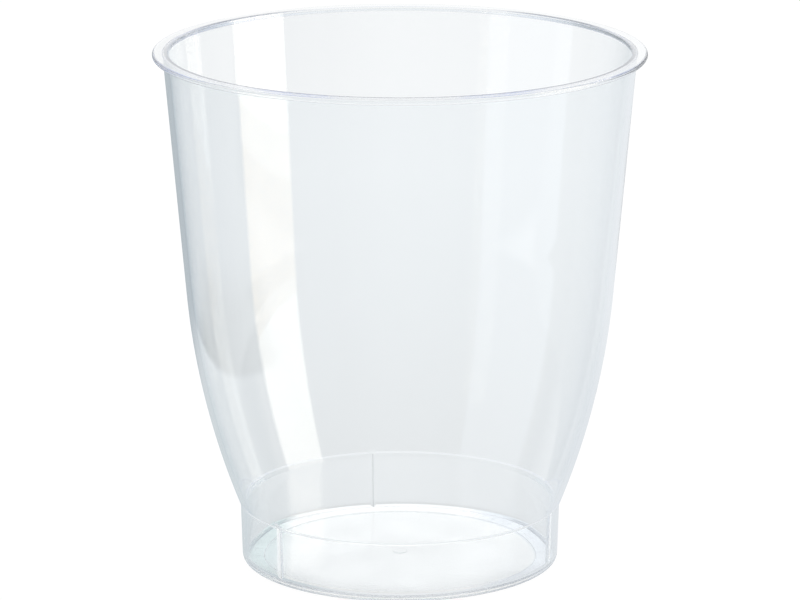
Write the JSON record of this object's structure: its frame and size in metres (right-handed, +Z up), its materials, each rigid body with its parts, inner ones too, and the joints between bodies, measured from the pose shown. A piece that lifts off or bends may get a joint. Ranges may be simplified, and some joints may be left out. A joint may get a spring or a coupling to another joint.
{
  "type": "plastic tumbler cup",
  "caption": "Clear moulded drinking tumbler with a thin outturned lip, a tapering wall that rounds into a bowl, and a short upright foot with a flat floor.",
  "frame": {"origin": "centre of the foot's underside, on the table", "axes": "+Z up the cup's axis, out of its mouth; -Y is the side seen in the picture; the beads inside the foot are set from +Y"},
  "size_m": [0.084, 0.084, 0.0895],
  "materials": {
    "clear_polystyrene": "glossy, as moulded"
  },
  "bodies": {
    "root": {"tumbler": "clear_polystyrene"}
  },
  "joints": []
}
